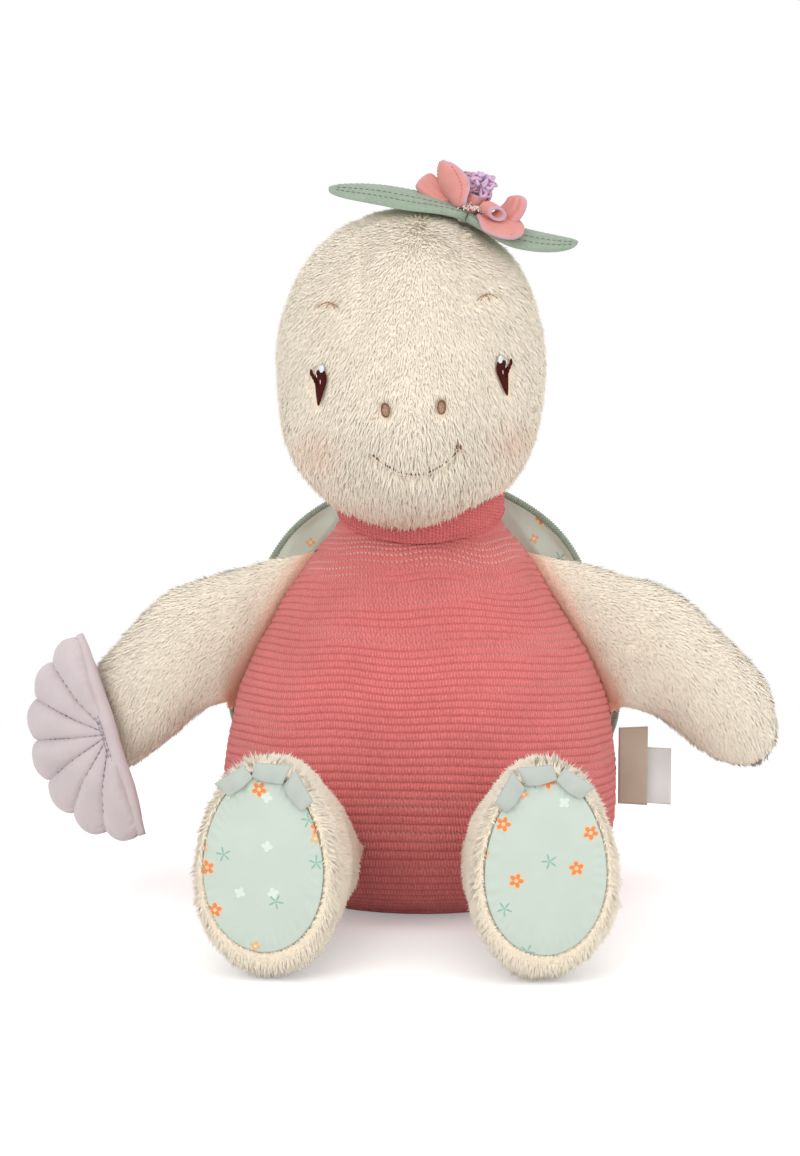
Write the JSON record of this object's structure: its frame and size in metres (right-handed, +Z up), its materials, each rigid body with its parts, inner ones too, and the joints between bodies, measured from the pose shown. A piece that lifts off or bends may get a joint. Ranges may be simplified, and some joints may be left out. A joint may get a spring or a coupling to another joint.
{
  "type": "stuffed toy turtle",
  "caption": "Seated plush turtle with a corduroy body, fur head and flippers, padded satin shell, quilted fan shell in one hand and a cloth flower on its head.",
  "frame": {"origin": "middle of the flat seat on the surface the toy sits on", "axes": "+Z up, the toy faces -Y, the viewer's right is +X"},
  "size_m": [0.3312, 0.264, 0.3241],
  "materials": {
    "pink_corduroy": "fine-wale corduroy, matt",
    "white_fill": "polyester fibre filling",
    "pink_rib": "ribbed knit, matt",
    "mint_satin": "printed cotton satin, soft sheen",
    "sage_piping": "overlocked satin edge",
    "beige_ribbon": "woven ribbon",
    "white_ribbon": "satin ribbon",
    "cream_fur": "short plush fur",
    "dark_thread": "embroidery thread",
    "pale_thread": "embroidery thread",
    "brown_thread": "embroidery thread",
    "pink_satin": "thin cotton satin",
    "lilac_yarn": "looped yarn",
    "lilac_velour": "velour, quilted",
    "grey_mint_satin": "folded satin"
  },
  "bodies": {
    "torso": {"body_front_panel": "pink_corduroy", "body_back_panel": "pink_corduroy", "body_base_panel": "pink_corduroy", "body_stuffing": "white_fill", "neck_collar": "pink_rib", "carapace_lining": "mint_satin", "carapace_wadding": "white_fill", "carapace_cover": "mint_satin", "carapace_piping": "sage_piping"},
    "neck": {"neck_stuffing": "white_fill"},
    "head": {"head_gusset": "cream_fur", "head_side_left": "cream_fur", "head_side_right": "cream_fur", "head_stuffing": "white_fill", "eye_left": "dark_thread", "eye_right": "dark_thread", "eye_glint_left": "pale_thread", "eye_glint_right": "pale_thread", "brow_left": "brown_thread", "brow_right": "brown_thread", "nostril_left": "brown_thread", "nostril_right": "brown_thread", "mouth": "brown_thread", "leaf_left": "sage_piping", "leaf_right": "sage_piping", "petal_left": "pink_satin", "petal_upright": "pink_satin", "petal_back": "pink_satin", "petal_front": "pink_satin", "petal_right": "pink_satin", "flower_bud": "pink_satin", "flower_loop": "pink_satin", "flower_pompom": "lilac_yarn"},
    "arm_left": {"arm_left_skin": "cream_fur", "arm_left_stuffing": "white_fill"},
    "arm_right": {"arm_right_skin": "cream_fur", "arm_right_stuffing": "white_fill"},
    "fan": {"fan_front": "lilac_velour", "fan_back": "lilac_velour", "fan_wadding": "white_fill"},
    "leg_left": {"leg_left_skin": "cream_fur", "leg_left_stuffing": "white_fill", "sole_left": "mint_satin", "toe_left_outer": "grey_mint_satin", "toe_left_middle": "grey_mint_satin", "toe_left_inner": "grey_mint_satin"},
    "leg_right": {"leg_right_skin": "cream_fur", "leg_right_stuffing": "white_fill", "sole_right": "mint_satin", "toe_right_outer": "grey_mint_satin", "toe_right_middle": "grey_mint_satin", "toe_right_inner": "grey_mint_satin"},
    "label_woven": {"label_woven": "beige_ribbon"},
    "label_care": {"label_care": "white_ribbon"}
  },
  "joints": [
    {"name": "neck_turn", "type": "hinge", "parent": "torso", "child": "neck", "pos_m": [0, -0.00536, 0.18456], "axis": [0, -0.2588, 0.9659], "range_deg": [-30, 30], "stiffness_Nm_per_rad": 0.15},
    {"name": "head_nod", "type": "hinge", "parent": "neck", "child": "head", "pos_m": [0, -0.00536, 0.18456], "axis": [1, 0, 0], "range_deg": [-10, 8], "stiffness_Nm_per_rad": 0.6},
    {"name": "shoulder_left", "type": "hinge", "parent": "torso", "child": "arm_left", "pos_m": [-0.06917, 0, 0.11778], "axis": [0.4781, 0, 0.8783], "range_deg": [-10, 50], "stiffness_Nm_per_rad": 0.1},
    {"name": "shoulder_right", "type": "hinge", "parent": "torso", "child": "arm_right", "pos_m": [0.06917, 0, 0.11778], "axis": [0.4781, 0, -0.8783], "range_deg": [-10, 50], "stiffness_Nm_per_rad": 0.1},
    {"name": "fan_swing", "type": "hinge", "parent": "arm_left", "child": "fan", "pos_m": [-0.13376, -0.02871, 0.07638], "axis": [-0.3177, 0.1985, 0.9272], "range_deg": [0, 35], "stiffness_Nm_per_rad": 0.04},
    {"name": "hip_left", "type": "hinge", "parent": "torso", "child": "leg_left", "pos_m": [-0.04556, -0.06207, 0.038], "axis": [-0.8836, 0.4683, 0], "range_deg": [-35, 30], "stiffness_Nm_per_rad": 0.2},
    {"name": "hip_right", "type": "hinge", "parent": "torso", "child": "leg_right", "pos_m": [0.04556, -0.06207, 0.038], "axis": [-0.8836, -0.4683, 0], "range_deg": [-35, 30], "stiffness_Nm_per_rad": 0.2},
    {"name": "woven_label_flap", "type": "hinge", "parent": "torso", "child": "label_woven", "pos_m": [0.0879, 0, 0.059], "axis": [0, 0, 1], "range_deg": [-60, 10]},
    {"name": "care_label_flap", "type": "hinge", "parent": "torso", "child": "label_care", "pos_m": [0.0879, 0.003, 0.0545], "axis": [0, 0, 1], "range_deg": [-10, 45]}
  ]
}
